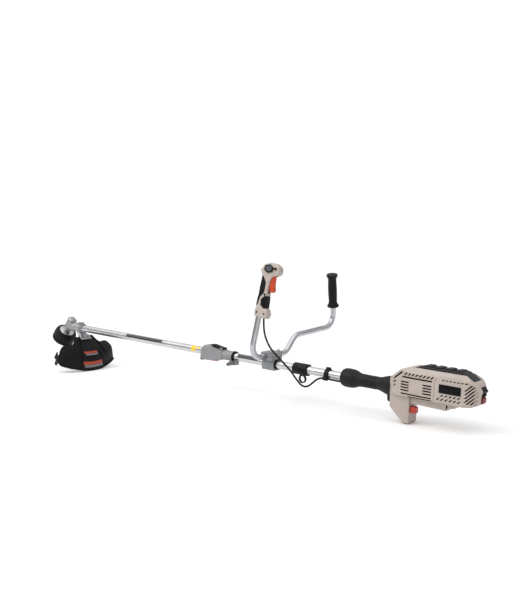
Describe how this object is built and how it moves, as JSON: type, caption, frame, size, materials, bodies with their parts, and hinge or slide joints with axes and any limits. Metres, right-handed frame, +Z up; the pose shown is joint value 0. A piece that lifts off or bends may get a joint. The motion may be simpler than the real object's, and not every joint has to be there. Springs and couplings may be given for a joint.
{
  "type": "string trimmer",
  "caption": "Cordless string trimmer: split shaft with quick coupler, bull-horn handlebar with throttle grip, geared line head, guard and rear battery powerhead.",
  "frame": {"origin": "centre of the flat underside of the powerhead's foot, which stands on Z = 0", "axes": "+Z up; +X from the cutting head back towards the powerhead; +Y towards the plain rubber grip; the shaft is tilted 2.55 degrees down towards +X"},
  "size_m": [1.8669, 0.4884, 0.4473],
  "materials": {
    "tube_aluminium": "bright drawn tube with a fine lengthwise grain",
    "handlebar_aluminium": "bright bent tube, satin",
    "cast_metal": "die-cast, lightly pebbled silver paint",
    "coupler_casting": "mid-grey painted casting",
    "steel": "zinc-plated and ground steel",
    "bright_steel": "bright turned steel",
    "black_plastic": "black moulded nylon with a light spark texture",
    "gloss_black": "gloss black plate",
    "grey_plastic": "warm grey moulded plastic, lightly textured",
    "orange_plastic": "orange-red moulded plastic",
    "red_plastic": "red moulded plastic",
    "inner_nylon": "plain moulded nylon",
    "trimmer_line": "wound round line",
    "rubber": "soft black rubber",
    "cable_jacket": "black cable jacket",
    "display": "display window in a black bezel",
    "circuit_board": "varnished circuit board",
    "motor_iron": "laminated iron with varnished windings"
  },
  "bodies": {
    "powerhead": {"upper_tube": "tube_aluminium", "upper_shaft_bushes": "inner_nylon", "coupler_body": "coupler_casting", "handlebar": "handlebar_aluminium", "rubber_grip": "rubber", "handle_clamp_lower": "coupler_casting", "handle_clamp_cap": "coupler_casting", "handle_clamp_sleeve": "rubber", "clamp_screws": "steel", "hanger_clamp": "black_plastic", "cable_clip": "black_plastic", "throttle_shell_near": "grey_plastic", "throttle_shell_far": "grey_plastic", "throttle_inserts": "rubber", "display_unit": "display", "throttle_cable": "cable_jacket", "neck_grip": "rubber", "housing_near": "grey_plastic", "housing_far": "grey_plastic", "casing_screws": "steel", "name_plate": "gloss_black", "foot_cap": "grey_plastic", "controller_cover": "grey_plastic", "controller_board": "circuit_board", "motor_mount": "cast_metal", "motor_stator": "motor_iron", "motor_bearings": "steel", "battery_cradle": "black_plastic"},
    "lower_unit": {"lower_tube": "tube_aluminium", "lower_shaft_bushes": "inner_nylon", "gear_case": "cast_metal", "gear_case_cap": "cast_metal", "gear_bearings": "steel", "guard": "black_plastic", "guard_bracket": "cast_metal", "guard_screws": "steel", "line_cutter": "steel"},
    "cutting_head": {"output_shaft": "steel", "bevel_gear": "steel", "flange_washer": "bright_steel", "drum": "black_plastic", "line_eyelets": "steel", "spool_spring": "steel"},
    "spool": {"spool": "inner_nylon", "line_coil": "trimmer_line", "bump_knob": "black_plastic"},
    "lower_drive": {"lower_drive_shaft": "steel", "bevel_pinion": "steel"},
    "upper_drive": {"upper_drive_shaft": "steel", "motor_rotor": "steel"},
    "coupler_lock": {"coupler_lock": "black_plastic"},
    "coupler_knob": {"coupler_knob": "black_plastic"},
    "mode_button": {"mode_button": "black_plastic"},
    "cruise_button": {"cruise_button": "black_plastic"},
    "trigger": {"trigger": "orange_plastic"},
    "lockout_lever": {"lockout_lever": "black_plastic"},
    "battery_pack": {"battery_pack": "black_plastic"},
    "battery_latch": {"battery_latch": "black_plastic"},
    "release_button": {"release_button": "red_plastic"},
    "power_button": {"power_button": "red_plastic"}
  },
  "joints": [
    {"name": "shaft_pull_out", "type": "slide", "parent": "powerhead", "child": "lower_unit", "axis": [-0.999, 0, 0.0445], "range_m": [0, 0.066]},
    {"name": "head_spin", "type": "hinge", "parent": "lower_unit", "child": "cutting_head", "pos_m": [-1.56259, 0, 0.1665], "axis": [-0.6232, 0, -0.7821], "continuous": true},
    {"name": "lower_shaft_spin", "type": "hinge", "parent": "lower_unit", "child": "lower_drive", "pos_m": [-1.56259, 0, 0.1665], "axis": [0.999, 0, -0.0445], "continuous": true},
    {"name": "upper_shaft_spin", "type": "hinge", "parent": "powerhead", "child": "upper_drive", "pos_m": [-1.56259, 0, 0.1665], "axis": [0.999, 0, -0.0445], "continuous": true},
    {"name": "spool_bump", "type": "slide", "parent": "cutting_head", "child": "spool", "axis": [0.6232, 0, 0.7821], "range_m": [0, 0.004], "stiffness_N_per_m": 900, "springref_m": -0.004},
    {"name": "coupler_lock_lift", "type": "hinge", "parent": "powerhead", "child": "coupler_lock", "pos_m": [-0.71456, 0, 0.14826], "axis": [0, 1, 0], "range_deg": [0, 15], "stiffness_Nm_per_rad": 0.3, "springref_deg": -17.19},
    {"name": "coupler_knob_turn", "type": "hinge", "parent": "powerhead", "child": "coupler_knob", "pos_m": [-0.66441, 0, 0.10548], "axis": [0, 1, 0], "range_deg": [0, 360]},
    {"name": "trigger_squeeze", "type": "hinge", "parent": "powerhead", "child": "trigger", "pos_m": [-0.44636, -0.05739, 0.41051], "axis": [-0.0068, 0.9882, -0.153], "range_deg": [0, 11], "stiffness_Nm_per_rad": 0.5, "springref_deg": -14.32},
    {"name": "lockout_squeeze", "type": "hinge", "parent": "powerhead", "child": "lockout_lever", "pos_m": [-0.48612, -0.06797, 0.34401], "axis": [-0.0068, 0.9882, -0.153], "range_deg": [0, 3], "stiffness_Nm_per_rad": 0.8, "springref_deg": -8.59},
    {"name": "mode_button_press", "type": "slide", "parent": "powerhead", "child": "mode_button", "axis": [-0.0068, 0.9882, -0.153], "range_m": [0, 0.002], "stiffness_N_per_m": 300, "springref_m": -0.002},
    {"name": "cruise_button_press", "type": "slide", "parent": "powerhead", "child": "cruise_button", "axis": [0.9912, -0.0136, -0.1318], "range_m": [0, 0.0025], "stiffness_N_per_m": 300, "springref_m": -0.002},
    {"name": "battery_lift", "type": "slide", "parent": "powerhead", "child": "battery_pack", "axis": [0.0445, 0, 0.999], "range_m": [0, 0.095]},
    {"name": "battery_release_press", "type": "slide", "parent": "powerhead", "child": "release_button", "axis": [-0.999, 0, 0.0445], "range_m": [0, 0.004], "stiffness_N_per_m": 500, "springref_m": -0.003},
    {"name": "battery_latch_rock", "type": "hinge", "parent": "powerhead", "child": "battery_latch", "pos_m": [0.18875, 0, 0.11253], "axis": [0, 1, 0], "range_deg": [0, 13]},
    {"name": "power_button_press", "type": "slide", "parent": "powerhead", "child": "power_button", "axis": [-0.999, 0, 0.0445], "range_m": [0, 0.003], "stiffness_N_per_m": 400, "springref_m": -0.003}
  ],
  "couplings": [
    {"joint": "lower_shaft_spin", "follows": "head_spin", "ratio": 1.4},
    {"joint": "upper_shaft_spin", "follows": "head_spin", "ratio": 1.4},
    {"joint": "battery_latch_rock", "follows": "battery_release_press", "rad_per_m": 55.556}
  ]
}
